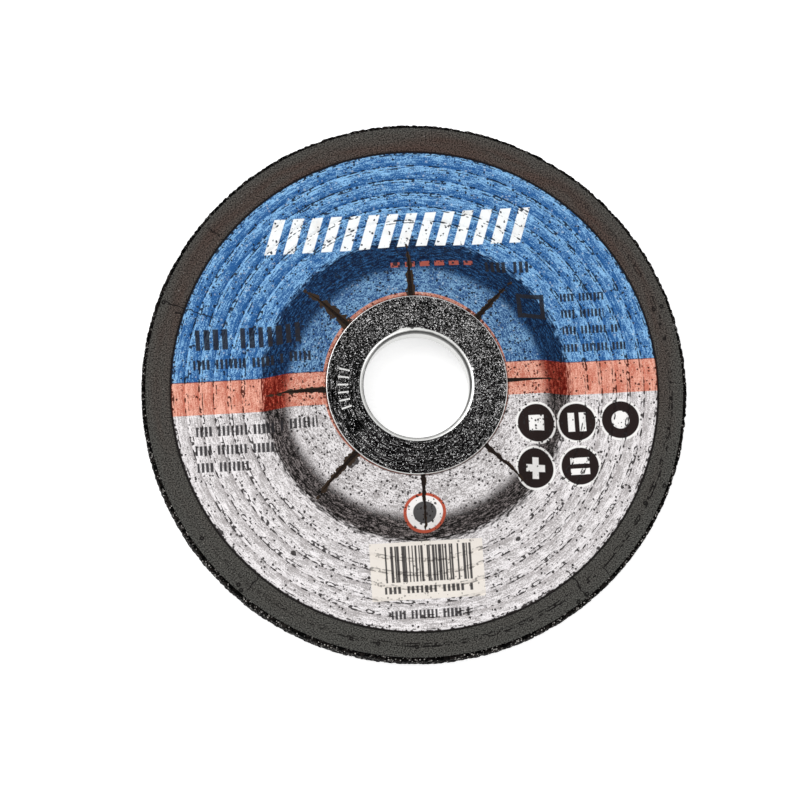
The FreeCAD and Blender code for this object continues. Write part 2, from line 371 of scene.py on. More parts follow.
def press_marks(tree, flat, radius, turn):
    """The marks of the mould: two broken creases along each ripple, with thin closed loops and blots between
    them."""
    wander = node(tree, "TexNoise", {"Vector": flat, "Scale": 1 / track_wander_size, "Detail": 2})
    wander = node(tree, "MapRange", {"Value": wander, "To Min": -track_wander, "To Max": track_wander})
    track = node(tree, "Math", {0: radius, 1: wander}, operation="ADD")
    out = node(tree, "Math", {0: track, 1: ripple_inner}, operation="SUBTRACT")
    aside = node(tree, "Math", {0: out, 1: ripple_pitch / 2, 2: -ripple_pitch / 2}, operation="WRAP")
    foot = node(tree, "Math", {0: track, 1: aside}, operation="SUBTRACT")

    marks = []
    for gap, break_width, heaviest in creases:
        breaks = drawn_out(tree, flat, radius, crease_break, break_width)
        breaks = node(tree, "TexNoise", {"Vector": breaks, "Scale": 1.0, "Detail": 1})
        heavy = node(tree, "MapRange", {"Value": breaks, "From Min": 0.46, "From Max": 0.64,
                                        "To Max": heaviest})
        crease = node(tree, "Math", {0: heavy, 1: away_from(tree, aside, -gap)}, operation="SUBTRACT")
        marks.append(node(tree, "MapRange", {"Value": crease, "From Min": 0.0, "From Max": 0.06}))

    whole = node(tree, "Math", {0: foot, 1: tau / loop_length}, operation="MULTIPLY")
    whole = node(tree, "Math", {0: whole}, operation="ROUND")
    along = node(tree, "Math", {0: turn, 1: whole, 2: foot}, operation="MULTIPLY_ADD")
    number = node(tree, "CombineXYZ", {"X": node(tree, "Math", {0: along}, operation="FLOOR"), "Y": foot})
    number = node(tree, "TexWhiteNoise", {"Vector": number})
    lot = node(tree, "SeparateColor", {0: number.outputs["Color"]})
    share = node(tree, "Math", {0: along}, operation="FRACT")
    share = node(tree, "Math", {0: share, 1: 0.5}, operation="SUBTRACT")
    half = node(tree, "MapRange", {"Value": lot.outputs[0], "To Min": 0.2, "To Max": 0.46})
    middle = node(tree, "Math", {0: aside, 1: crease_gap / 2}, operation="ADD")
    oval = node(tree, "CombineXYZ", {
        "X": node(tree, "Math", {0: share, 1: half}, operation="DIVIDE"),
        "Y": node(tree, "Math", {0: middle, 1: loop_half_width}, operation="DIVIDE")})
    oval = node(tree, "VectorMath", {0: oval}, operation="LENGTH").outputs["Value"]
    torn = node(tree, "TexNoise", {"Vector": flat, "Scale": 1 / loop_tear, "Detail": 2})
    thick = node(tree, "MapRange", {"Value": torn, "From Min": 0.4, "From Max": 0.62, "To Max": 0.5})
    loop = node(tree, "Math", {0: thick, 1: away_from(tree, oval, 1.0)}, operation="SUBTRACT")
    loop = node(tree, "MapRange", {"Value": loop, "From Min": 0.0, "From Max": 0.12})
    there = node(tree, "MapRange", {"Value": lot.outputs[1], "From Min": 0.62, "From Max": 0.72})
    marks.append(together(tree, [loop, there], "MULTIPLY"))

    past_end = node(tree, "Math", {0: share, 1: half}, operation="SUBTRACT")
    past_end = node(tree, "Math", {0: past_end, 1: loop_length}, operation="MULTIPLY")
    blot = node(tree, "CombineXYZ", {"X": past_end, "Y": middle})
    blot = node(tree, "VectorMath", {0: blot}, operation="LENGTH").outputs["Value"]
    blot_size = node(tree, "MapRange", {"Value": lot.outputs[2], "From Min": 0.72, "To Max": mark_blot})
    blot = node(tree, "Math", {0: blot_size, 1: blot}, operation="SUBTRACT")
    marks.append(node(tree, "MapRange", {"Value": blot, "From Min": 0.0, "From Max": 0.1}))

    from_inside = node(tree, "Math", {0: radius, 1: ripple_first}, operation="GREATER_THAN")
    from_outside = node(tree, "Math", {0: radius, 1: ripple_last}, operation="LESS_THAN")
    return together(tree, [together(tree, marks, "MAXIMUM"), from_inside, from_outside], "MULTIPLY")


def cover(piece, material):
    """Gives a CAD piece that material alone."""
    piece.data.materials.clear()
    piece.data.materials.append(material)


# Resin-soaked black paper: an even dark grey, matt, with a brown cast where the resin has risen and a fine
# dull grain. It has pinholes, a few round pits and specks of dust, the grit's lumps show through, and a
# painted shadow lies beside the label's edge.
fleck_size, pinhole_pitch, lump_size = 0.28, 1.1, 0.9
resin_length, resin_width, lump_height = 9.0, 2.5, 0.09
# The resin has risen most near the label and at the top, and the ripple is pressed deepest on one side
resin_starts, resin_full = 57.0, 54.2
resin_least_at, resin_most_at, resin_least = -30, 35, 0.15
pressed_bearing, pressed_least_at, pressed_most_at, pressed_least = -48, -15, 35, 0.2
slit_paper_starts, slit_paper_full = 34, 31
label_shade, label_shade_full = 0.3, 0.2
paper_grey, resin_brown, slit_brown = "434340", "433732", "33261F"
dust, sunk_and_shadow_black = "8A8580", "100E0E"
black_paper, tree, shader = new_material("resin_soaked_paper")
flat, radius, turn = disc_place(tree)
marks = press_marks(tree, flat, radius, turn)
cracked = border_cracks(tree, flat, radius, turn)
fleck = node(tree, "TexNoise", {"Vector": flat, "Scale": 1 / fleck_size, "Detail": 2, "Roughness": 0.7})
patch = drawn_out(tree, flat, radius, resin_length, resin_width)
patch = node(tree, "TexNoise", {"Vector": patch, "Scale": 1.0, "Detail": 3})
patch = node(tree, "MapRange", {"Value": patch, "From Min": 0.35, "From Max": 0.65, "To Min": 0.4})
inner = node(tree, "MapRange", {"Value": radius, "From Min": resin_starts, "From Max": resin_full})
upper = node(tree, "MapRange", {"Value": node(tree, "SeparateXYZ", {0: flat}).outputs["Y"],
                                "From Min": resin_least_at, "From Max": resin_most_at,
                                "To Min": resin_least})
resin_risen = together(tree, [patch, inner, upper], "MULTIPLY")
tone = layer(tree, resin_risen, colour(paper_grey), colour(resin_brown))
speck = node(tree, "MapRange", {"Value": fleck, "From Min": 0.38, "From Max": 0.62,
                                "To Min": 0.1, "To Max": 1.95})
tone = node(tree, "VectorMath", {0: tone, "Scale": speck}, operation="SCALE")
below_label = node(tree, "MapRange", {"Value": radius, "From Min": slit_paper_starts,
                                      "From Max": slit_paper_full})
tone = layer(tree, below_label, tone, colour(slit_brown))

pinholes = node(tree, "TexVoronoi", {"Vector": flat, "Scale": 1 / pinhole_pitch})
dusty = spots(tree, pinholes, 0.3, 0.0, 0.17, 0.06)
dusty = node(tree, "Math", {0: dusty, 1: 0.6}, operation="MULTIPLY")
tone = layer(tree, dusty, tone, colour(dust))

nearest_pit = together(tree, [circle(tree, flat, at_bearing(*where)) for where in rim_pits], "MINIMUM")
pit_rings = smaller(tree, away_from(tree, nearest_pit, rim_pit_radius), rim_pit_line)
# A painted shadow on the paper just outside the label's edge.
label_edge_shadow = node(tree, "MapRange", {"Value": radius, "From Min": label_edge + label_shade,
                                       "From Max": label_edge + label_shade_full})
ragged_line = node(tree, "MapRange", {"Value": fleck, "From Min": 0.4, "From Max": 0.55, "To Min": 0.4})
label_edge_shadow = together(tree, [label_edge_shadow, ragged_line], "MULTIPLY")
pressed_side = node(tree, "MapRange", {"Value": towards(tree, flat, pressed_bearing),
                                       "From Min": pressed_least_at, "From Max": pressed_most_at,
                                       "To Min": pressed_least})
marks = together(tree, [marks, pressed_side], "MULTIPLY")
pinhole = spots(tree, pinholes, 0.7, 1.0, 0.16, 0.06)
# Mould marks, cracks, pits and pinholes, with the painted shadow beside the label, all laid on in one
# near-black.
sunk = together(tree, [marks, cracked, pit_rings, pinhole, label_edge_shadow], "MAXIMUM")
sunk = node(tree, "Math", {0: sunk, 1: 0.92}, operation="MULTIPLY")
tone = layer(tree, sunk, tone, colour(sunk_and_shadow_black))

lumps = node(tree, "TexNoise", {"Vector": flat, "Scale": 1 / lump_size, "Detail": 4, "Roughness": 0.6})
height = node(tree, "Math", {0: lumps, 1: sunk}, operation="SUBTRACT")
bump = node(tree, "Bump", {"Height": height, "Distance": lump_height * MM, "Strength": 0.8})
feed(tree, shader, {"Base Color": tone, "Roughness": 0.62, "Specular IOR Level": 0.05, "Normal": bump})
cover(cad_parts["backing_paper"], black_paper)

# The label is one round of thin printed paper, with eight slits that let it climb the hub. Three fields of
# ink cover it: blue above an orange band, and pale grey below. Plain shapes stand where such labels carry
# words and signs. It is torn at the slits, scorched on the slope and darkened there by painted shade, and
# pitted by the grit below it.
blue_over, grey_under, seam_half_width = 3.93, -3.10, 0.11
print_centre, ring_line_radius = (-0.15, 0.42), 19.5
# Each field's colours where the ink is blue, orange and grey; those for the slope are scorch with painted
# shade
inks = {
    "rubbed": ("225690", "C2715D", "A6A1A1"),
    "full": ("8ABCE6", "EDB09C", "F2EEEF"),
    "scorched_and_shaded": ("04102A", "5A0C04", "040302"),
    "strained_and_shaded": ("2E5C8C", "BC5643", "968D8C"),
    "worn": ("17202F", "45190F", "2A2626"),
}
white_ink, dark_ink, red_ink, faded_red, cream = "F2F0EE", "242326", "B4543F", "9E5246", "E7E0D8"
bar_white, ring_white, roundel_black, seam_ink = "F3F6F7", "EFECEA", "241B1A", "2B2C46"
soil, stain_brown, bare_paper, slit_dark = "3A3834", "B9A58F", "D5E2EC", "33281F"
# Printed boxes: left, right, bottom and top
white_band, slant, stripe_start, stripe_pitch, stripe_share = (-40.8, 13.8, 30.4, 37.9), 0.35, -1.5, 4.0, 0.58
orange_row, orange_pitch = (-4.4, 14.1, 25.3, 26.4), 3.1
square_sign, sign_line = (22.2, 28.4, 13.2, 18.8), 1.0
cream_box, upright_box = (-11.9, 11.8, -44.4, -32.3), (-9.2, 9.7, -40.7, -33.1)
# The uprights of the cream box, as two rows laid over each other: start, pitch, least and greatest share of
# the pitch that one fills, and the share left out
upright_rows = [(-9.2, 1.26, 0.2, 0.62, 0.1), (-9.0, 0.71, 0.3, 0.6, 0.4)]
# Rows of small blocks: left, right, middle height, height and pitch
block_rows = [
    (-46.0, -23.2, 12.8, 4.4, 1.90), (-46.5, -21.5, 7.5, 2.1, 0.96), (16.0, 25.9, 25.0, 2.5, 1.24),
    (31.7, 41.3, 17.9, 1.7, 0.80), (31.7, 40.9, 14.4, 1.7, 0.80), (31.7, 43.7, 10.8, 1.7, 0.80),
    (31.7, 45.0, 7.0, 1.7, 0.80), (-46.7, -21.2, -6.7, 2.1, 0.93), (-47.0, -30.0, -10.7, 2.0, 0.93),
    (-46.8, -34.8, -14.3, 2.0, 0.93), (-8.3, 8.3, -47.5, 1.8, 0.83), (-9.4, 9.4, -42.3, 1.5, 0.94),
]
roundels = [(24.5, -9.3), (33.5, -8.9), (42.75, -8.9), (23.9, -18.5), (33.5, -18.3)]
roundel_radius, roundel_line, roundel_dot = 4.4, 0.46, 1.9
# The bars of four roundels: which roundel, and the bar's reach to either side of its middle
roundel_bars = [(0, -1.6, 1.6, -1.6, 1.6), (1, -1.9, -0.5, -2.0, 2.0), (1, 0.5, 1.9, -2.0, 2.0),
                (3, -2.1, 2.1, -0.7, 0.7), (3, -0.7, 0.7, -2.1, 2.1),
                (4, -2.0, 2.0, 0.5, 1.8), (4, -2.0, 2.0, -1.8, -0.5)]
red_ring, red_ring_stretch = (-0.1, -26.8), 1.11
red_ring_radius, red_ring_inner, red_ring_dot = 4.0, 3.4, 2.2
# The slits: the width of each from the X axis round, and the shape that they share
slit_widths = [0.6, 2.0, 2.2, 3.3, 1.7, 2.4, 1.3, 1.5]
slit_start, slit_end, slit_taper, slit_tear = 12.0, 31.5, 0.65, 1.5
# Each large blot's bearing, radius and size
lone_blots = [(213.5, 51.0, 0.55), (292.4, 51.1, 0.5), (315.0, 50.7, 0.4), (228.0, 20.7, 0.75),
              (227.4, 22.2, 0.55), (52.0, 19.4, 0.5), (230.2, 43.2, 0.4), (300.5, 38.2, 0.4),
              (96.0, 26.4, 0.4)]


def bar(tree, flat, left, right, bottom, top):
    """1 inside a printed bar."""
    middle = ((left + right) / 2, (bottom + top) / 2, 0)
    away = node(tree, "VectorMath", {0: flat, 1: middle}, operation="SUBTRACT")
    away = node(tree, "VectorMath", {0: away}, operation="ABSOLUTE")
    past = node(tree, "VectorMath", {0: away, 1: ((right - left) / 2, (top - bottom) / 2, 0)},
                operation="SUBTRACT")
    parts = node(tree, "SeparateXYZ", {0: past})
    return smaller(tree, together(tree, [parts.outputs[0], parts.outputs[1]], "MAXIMUM"), 0)


def blocks(tree, across, start, pitch, least, most, gaps=0.14):
    """1 in each block of a row. The blocks stand a pitch apart, fill it by unlike shares, and leave some
    gaps."""
    count = node(tree, "Math", {0: across, 1: start}, operation="SUBTRACT")
    count = node(tree, "Math", {0: count, 1: pitch}, operation="DIVIDE")
    number = node(tree, "Math", {0: count}, operation="FLOOR")
    lot = node(tree, "TexWhiteNoise", {"W": number}, noise_dimensions="1D")
    there = node(tree, "Math", {0: lot, 1: gaps}, operation="GREATER_THAN")
    half = node(tree, "SeparateColor", {0: lot.outputs["Color"]})
    half = node(tree, "MapRange", {"Value": half.outputs[1], "To Min": least / 2, "To Max": most / 2})
    share = away_from(tree, node(tree, "Math", {0: count}, operation="FRACT"), 0.5)
    inside = node(tree, "Math", {0: share, 1: half}, operation="SUBTRACT")
    return together(tree, [smaller(tree, inside, 0, edge_blur / pitch), there], "MULTIPLY")


# Printed paper: matt ink on a soft white sheet that has taken the grit's texture. The ink is mottled by the
# sheet's nap and rubbed in streaks round the axis, and each pit shows nearly black. The nap and the pits
# are drawn a little larger than the real ones, so that they show.
fine_size, broad_size, fibre_length, fibre_width = 0.26, 3.5, 1.7, 0.3
nap_size, nap_share, label_relief = 0.19, 0.38, 0.1
hub_reach, hub_fade, ripple_fade = 26.5, 4, 2
# The blue is deeper towards the left: from here, to here, and how deep at each end
deeper_from, deepest_at, least_deep, most_deep = -12, -42, 0.65, 1.25
# The radii between which the slope's scorch and painted shade come and go, and how far in they reach on the
# far side
scorch_shade_starts, scorch_shade_full, scorch_shade_ebbs, scorch_shade_ends, fringe_reach = 26.4, 28.9, 31.7, 33.3, 1.5
far_side_starts, far_side_full, far_side_reach = -8, 20, 2.7
# The share of cells without a pit, on the hub and on the flat
hub_pits_end, flat_pits_start, hub_unpitted, flat_unpitted = 25, 34, 0.14, 0.68
edge_wear, edge_wear_full = 0.3, 0.15
flange_shade_ends, flange_shade_full = 19.25, 19.1
pit_pitch, pit_wander, pit_wander_size, blot_pitch, bite_size = 0.6, 0.5, 0.4, 6.0, 0.9
printed, tree, shader = new_material("printed_paper")
flat, radius, turn = disc_place(tree)
axes = node(tree, "SeparateXYZ", {0: flat})
across, upwards = axes.outputs["X"], axes.outputs["Y"]
marks = together(tree, [press_marks(tree, flat, radius, turn), border_cracks(tree, flat, radius, turn)],
                 "MAXIMUM")

fine = node(tree, "TexNoise", {"Vector": flat, "Scale": 1 / fine_size, "Detail": 3, "Roughness": 0.6})
nap = node(tree, "TexVoronoi", {"Vector": flat, "Scale": 1 / nap_size})
nap = node(tree, "SeparateColor", {0: nap.outputs["Color"]})
nap = node(tree, "MapRange", {"Value": nap.outputs[0], "To Min": 0.3, "To Max": 0.7})
fine = node(tree, "Mix", {0: nap_share, 2: fine, 3: nap}).outputs[0]
fibres = drawn_out(tree, flat, radius, fibre_length, fibre_width)
fibres = node(tree, "TexNoise", {"Vector": fibres, "Scale": 1.0, "Detail": 2})
broad = node(tree, "TexNoise", {"Vector": flat, "Scale": 1 / broad_size, "Detail": 2})
on_hub = smaller(tree, radius, hub_reach, hub_fade)
# Painted shade along the ripples: the paper is darker just outside each ripple and lighter just inside the
# next.
ripple_shade_step = node(tree, "Math", {0: radius, 1: ripple_inner}, operation="SUBTRACT")
ripple_shade_step = node(tree, "Math", {0: ripple_shade_step, 1: ripple_pitch}, operation="DIVIDE")
ripple_shade_step = node(tree, "Math", {0: node(tree, "Math", {0: ripple_shade_step}, operation="FRACT"), 1: 0.5}, operation="SUBTRACT")
rippled = smaller(tree, radius, ripple_first, ripple_fade)
rippled = node(tree, "Math", {0: 1.0, 1: rippled}, operation="SUBTRACT")
mottle = node(tree, "Math", {0: broad, 1: 0.14}, operation="MULTIPLY")
for pattern, weight in ((fibres, 0.3), (fine, 0.56), (together(tree, [ripple_shade_step, rippled], "MULTIPLY"), 0.1)):
    mottle = node(tree, "Math", {0: pattern, 1: weight, 2: mottle}, operation="MULTIPLY_ADD")
mottle = node(tree, "Math", {0: mottle, 1: 0.5}, operation="SUBTRACT")
contrast = node(tree, "Math", {0: on_hub, 1: 8.5, 2: 8.0}, operation="MULTIPLY_ADD")
mottle = node(tree, "Math", {0: mottle, 1: contrast, 2: 0.5}, operation="MULTIPLY_ADD", use_clamp=True)

on_blue = smaller(tree, node(tree, "Math", {0: blue_over, 1: upwards}, operation="SUBTRACT"), 0)
on_grey = smaller(tree, upwards, grey_under)
ring_line = smaller(tree, circle(tree, flat, print_centre), ring_line_radius)
fields = {}
for state, (blue, orange, grey) in inks.items():
    field = layer(tree, on_blue, colour(orange), colour(blue))
    field = layer(tree, on_grey, field, colour(grey))
    fields[state] = layer(tree, ring_line, field, colour(orange))
deeper = node(tree, "MapRange", {"Value": across, "From Min": deeper_from, "From Max": deepest_at,
                                 "To Min": least_deep, "To Max": most_deep})
thinned = node(tree, "Math", {0: on_blue, 1: deeper, 2: 1.0}, operation="MULTIPLY_ADD")
thinned = node(tree, "Math", {0: mottle, 1: thinned}, operation="POWER")
ground = layer(tree, thinned, fields["rubbed"], fields["full"])
seam = smaller(tree, away_from(tree, upwards, blue_over), seam_half_width)
seam = node(tree, "Math", {0: seam, 1: 0.75}, operation="MULTIPLY")
ground = layer(tree, seam, ground, colour(seam_ink))
soiled = node(tree, "Math", {0: on_blue, 1: 0.2, 2: 0.12}, operation="MULTIPLY_ADD")
ground = layer(tree, together(tree, [soiled, on_hub], "MULTIPLY"), ground, colour(soil))

# The slope of the hub, where the paper was stretched in fine streaks and scorched, with painted shade all
# round it that reaches further in on the far side.
fringe = node(tree, "MapRange", {"Value": fibres, "To Min": -fringe_reach, "To Max": fringe_reach})
ragged = node(tree, "Math", {0: radius, 1: fringe}, operation="ADD")
far_side = node(tree, "MapRange", {"Value": upwards, "From Min": far_side_starts,
                                   "From Max": far_side_full, "To Max": far_side_reach})
ragged_top = node(tree, "Math", {0: ragged, 1: far_side}, operation="ADD")
climbing = node(tree, "MapRange", {"Value": ragged_top, "From Min": scorch_shade_starts,
                                   "From Max": scorch_shade_full}, interpolation_type="SMOOTHSTEP")
landing = node(tree, "MapRange", {"Value": ragged, "From Min": scorch_shade_ends, "From Max": scorch_shade_ebbs},
               interpolation_type="SMOOTHSTEP")
slope = together(tree, [climbing, landing], "MULTIPLY")
streaks = node(tree, "Math", {0: fibres, 1: 0.45}, operation="MULTIPLY")
streaks = node(tree, "Math", {0: fine, 1: 0.55, 2: streaks}, operation="MULTIPLY_ADD")
streaks = node(tree, "MapRange", {"Value": streaks, "From Min": 0.44, "From Max": 0.62})
streaks = node(tree, "Math", {0: streaks, 1: 1.6}, operation="POWER")
scorch_and_shade = layer(tree, streaks, fields["scorched_and_shaded"], fields["strained_and_shaded"])
ground = layer(tree, slope, ground, scorch_and_shade)

# The printed shapes: a white band of slanted bars, rows of small blocks, a square sign, five roundels with
# plain marks, a red ring with a dot, and a cream box with upright bars.
leaning = node(tree, "Math", {0: upwards, 1: -slant, 2: across}, operation="MULTIPLY_ADD")
band = bar(tree, node(tree, "CombineXYZ", {"X": leaning, "Y": upwards}), *white_band)
stripe = node(tree, "Math", {0: leaning, 1: stripe_start}, operation="SUBTRACT")
stripe = node(tree, "Math", {0: stripe, 1: stripe_pitch}, operation="DIVIDE")
stripe = away_from(tree, node(tree, "Math", {0: stripe}, operation="FRACT"), 0.5)
stripe = smaller(tree, stripe, stripe_share / 2, edge_blur / stripe_pitch)
white_bars = together(tree, [band, stripe], "MULTIPLY")
orange_blocks = together(tree, [bar(tree, flat, *orange_row),
                                blocks(tree, across, orange_row[0], orange_pitch, 0.6, 0.7, 0)], "MULTIPLY")
dark_shapes = []
for left, right, middle, height, pitch in block_rows:
    row = bar(tree, flat, left, right, middle - height / 2, middle + height / 2)
    dark_shapes.append(together(tree, [row, blocks(tree, across, left, pitch, 0.45, 0.75)], "MULTIPLY"))
left, right, bottom, top = square_sign
hollow = bar(tree, flat, left + sign_line, right - sign_line, bottom + sign_line, top - sign_line)
dark_shapes.append(node(tree, "Math", {0: bar(tree, flat, *square_sign), 1: hollow}, operation="SUBTRACT"))
uprights = together(tree, [blocks(tree, across, *row) for row in upright_rows], "MAXIMUM")
dark_shapes.append(together(tree, [bar(tree, flat, *upright_box), uprights], "MULTIPLY"))
drawn_in = node(tree, "VectorMath", {0: flat, 1: (1 / red_ring_stretch, 1, 0)}, operation="MULTIPLY")
red_distance = circle(tree, drawn_in, (red_ring[0] / red_ring_stretch, red_ring[1]))
dark_shapes.append(smaller(tree, red_distance, red_ring_dot))
dark_shapes = together(tree, dark_shapes, "MAXIMUM")

nearest = together(tree, [circle(tree, flat, centre) for centre in roundels], "MINIMUM")
discs = smaller(tree, nearest, roundel_radius - roundel_line)
plain_marks = [smaller(tree, circle(tree, flat, roundels[2]), roundel_dot)]
for number, left, right, bottom, top in roundel_bars:
    x, y = roundels[number]
    plain_marks.append(bar(tree, flat, x + left, x + right, y + bottom, y + top))
plain_marks = together(tree, [together(tree, plain_marks, "MAXIMUM"), discs], "MULTIPLY")

on_cream = bar(tree, flat, *cream_box)
stain = node(tree, "MapRange", {"Value": broad, "From Min": 0.52, "From Max": 0.75, "To Max": 0.3})
stain = together(tree, [stain, white_bars], "MULTIPLY")
for shape, ink in ((on_cream, cream), (white_bars, bar_white), (stain, stain_brown),
                   (smaller(tree, red_distance, red_ring_radius), red_ink),
                   (smaller(tree, red_distance, red_ring_inner), ring_white),
                   (smaller(tree, nearest, roundel_radius), white_ink),
                   (discs, roundel_black), (plain_marks, white_ink), (orange_blocks, faded_red),
                   (node(tree, "Math", {0: dark_shapes, 1: 0.93}, operation="MULTIPLY"), dark_ink)):
    ground = layer(tree, shape, ground, colour(ink))

# Wear: rubbed specks on the blue, pits over the grit, blots, and the mould's marks.
pushed = node(tree, "TexNoise", {"Vector": flat, "Scale": 1 / pit_wander_size, "Detail": 1})
pushed = node(tree, "VectorMath", {0: pushed.outputs["Color"], 1: (pit_wander, pit_wander, 0), 2: flat},
              operation="MULTIPLY_ADD")
pits = node(tree, "TexVoronoi", {"Vector": pushed, "Scale": 1 / pit_pitch})
pit_lot = node(tree, "SeparateColor", {0: pits.outputs["Color"]})
chafed = node(tree, "MapRange", {"Value": pit_lot.outputs[1], "From Min": 0.86, "From Max": 0.9,
                                 "To Max": 0.4})
spared = together(tree, [slope, dark_shapes], "MAXIMUM")
spared = node(tree, "Math", {0: 1.0, 1: spared}, operation="SUBTRACT")
chafed_spots = smaller(tree, pits.outputs["Distance"], 0.35, 0.3)
chafed = together(tree, [chafed, chafed_spots, on_blue, spared], "MULTIPLY")
ground = layer(tree, chafed, ground, colour(bare_paper))
unpitted_share = node(tree, "MapRange", {
    "Value": radius, "From Min": hub_pits_end, "From Max": flat_pits_start,
    "To Min": hub_unpitted, "To Max": flat_unpitted})
pit = spots(tree, pits, unpitted_share, 1.0, 0.5, 0.06)
blots = node(tree, "TexVoronoi", {"Vector": flat, "Scale": 1 / blot_pitch})
blot = spots(tree, blots, 0.7, 1.0, 0.075, 0.015)
tear = node(tree, "TexNoise", {"Vector": flat, "Scale": 1 / slit_tear, "Detail": 2})
tear = node(tree, "MapRange", {"Value": tear, "From Min": 0.3, "From Max": 0.7, "To Min": -0.32,
                               "To Max": 0.42})
lone = [node(tree, "Math", {0: circle(tree, flat, at_bearing(bearing, out)), 1: size}, operation="SUBTRACT")
        for bearing, out, size in lone_blots]
lone = node(tree, "Math", {0: together(tree, lone, "MINIMUM"), 1: tear}, operation="SUBTRACT")
worn = together(tree, [pit, blot, marks, smaller(tree, lone, 0)], "MAXIMUM")
fainter = node(tree, "MapRange", {"Value": on_cream, "To Min": 1.0, "To Max": 0.6})
worn = together(tree, [worn, fainter], "MULTIPLY")
ground = layer(tree, node(tree, "Math", {0: worn, 1: 0.94}, operation="MULTIPLY"), ground, fields["worn"])

# The slits: each is widest at the ring and comes to a point on the slope, with torn edges.
eighth = node(tree, "Math", {0: turn, 1: len(slit_widths)}, operation="MULTIPLY")
number = node(tree, "Math", {0: eighth}, operation="ROUND")
off_slit = node(tree, "Math", {0: eighth, 1: number}, operation="SUBTRACT")
off_slit = node(tree, "Math", {0: off_slit, 1: tau / len(slit_widths)}, operation="MULTIPLY")
off_slit = node(tree, "Math", {0: off_slit, 1: radius}, operation="MULTIPLY")
off_slit = node(tree, "Math", {0: off_slit}, operation="ABSOLUTE")
number = node(tree, "Math", {0: number, 1: len(slit_widths)}, operation="FLOORED_MODULO")
slit_width = 0.0
for count, wide in enumerate(slit_widths):
    this_one = node(tree, "Math", {0: number, 1: count, 2: 0.25}, operation="COMPARE")
    slit_width = node(tree, "Math", {0: this_one, 1: wide, 2: slit_width}, operation="MULTIPLY_ADD")
narrowing = node(tree, "MapRange", {"Value": radius, "From Min": slit_end, "From Max": slit_start})
narrowing = node(tree, "Math", {0: narrowing, 1: slit_taper}, operation="POWER")
half_slit = together(tree, [slit_width, narrowing], "MULTIPLY")
half_slit = node(tree, "Math", {0: half_slit, 1: 0.5}, operation="MULTIPLY")
torn_by = node(tree, "Math", {0: slit_width, 1: 0.42, 2: 0.25}, operation="MULTIPLY_ADD")
torn_to = node(tree, "Math", {0: tear, 1: torn_by, 2: half_slit}, operation="MULTIPLY_ADD")
slit = node(tree, "Math", {0: torn_to, 1: off_slit}, operation="SUBTRACT")
slit = node(tree, "MapRange", {"Value": slit, "From Min": 0.0, "From Max": 0.1})
within_reach = node(tree, "Math", {0: radius, 1: slit_end}, operation="LESS_THAN")
ground = layer(tree, together(tree, [slit, within_reach], "MULTIPLY"), ground, colour(slit_dark))

# The ragged outer edge, and a painted shadow as a dark line beside the flange of the ring.
bite = node(tree, "TexNoise", {"Vector": flat, "Scale": 1 / bite_size, "Detail": 3})
bite = node(tree, "MapRange", {"Value": bite, "From Min": 0.5, "From Max": 0.7, "To Max": 0.35})
rim_line = node(tree, "Math", {0: radius, 1: bite}, operation="ADD")
rim_line = node(tree, "MapRange", {"Value": rim_line, "From Min": label_edge - edge_wear,
                                   "From Max": label_edge - edge_wear_full})
flange_shadow = node(tree, "Math", {0: radius, 1: bite}, operation="SUBTRACT")
flange_shadow = node(tree, "MapRange", {"Value": flange_shadow, "From Min": flange_shade_ends,
                                      "From Max": flange_shade_full, "To Max": 0.8})
# The flange's painted shadow is laid on in the worn colours.
ground = layer(tree, together(tree, [rim_line, flange_shadow], "MAXIMUM"), ground, fields["worn"])

height = node(tree, "Math", {0: mottle, 1: 0.35}, operation="MULTIPLY")
height = node(tree, "Math", {0: height, 1: worn}, operation="SUBTRACT")
bump = node(tree, "Bump", {"Height": height, "Distance": label_relief * MM, "Strength": 0.7})
feed(tree, shader, {"Base Color": ground, "Roughness": 0.6, "Specular IOR Level": 0.06, "Normal": bump})
cover(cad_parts["printed_label"], printed)

# The centre ring is pressed from thin zinc-plated steel. Its collar lines the bore and its flange lies on the
# label, so that the flange of the grinder bears on metal. The plating is dull and grainy, rubbed bright and
# given painted highlight at the lip and the flange's edge, with painted shade on the lip's rounding, and
# stamped with a short row of ticks.
flange_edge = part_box("centre_ring")[1].x / MM
border_width, border_fade = 0.22, 0.1
lip_bright, lip_fade = 12.02, 0.15
# The lip's painted highlight is widest at one bearing: from how far towards it, to how far, and by how much
glint_bearing, glint_starts, glint_full, glint_width = 97, 11.4, 12.3, 0.7
lip_nick, lip_nick_radius = (13.0, 12.1), 0.3
dark_nick, dark_nick_radius = (91.0, 12.25), 0.42
wall_top, rounding_foot = 9.2 * MM, 9.8 * MM
# Scratches show most on one side of the ring, and a line of painted shade inside the lip on another
scuffed_bearing, scuffs_start, scuffs_full, least_scuffed, most_scuffed = 232, -6, 13, 0.06, 0.5
shaded_bearing, shade_starts, shade_full = 60, -3, 5
# The lines of painted shade inside the lip: radius, half width and depth, or None where it fades
lip_shade_lines = [(11.58, 0.05, 0.6), (11.4, 0.13, None), (11.18, 0.15, 1.0)]
# The ticks stand on the side of the ring that lies against the X axis, beyond this share of a turn from it
ticks_from = 0.447
ticks_per_turn, tick_share, tick_radius, tick_half_length = 60, 0.22, 15.5, 1.1

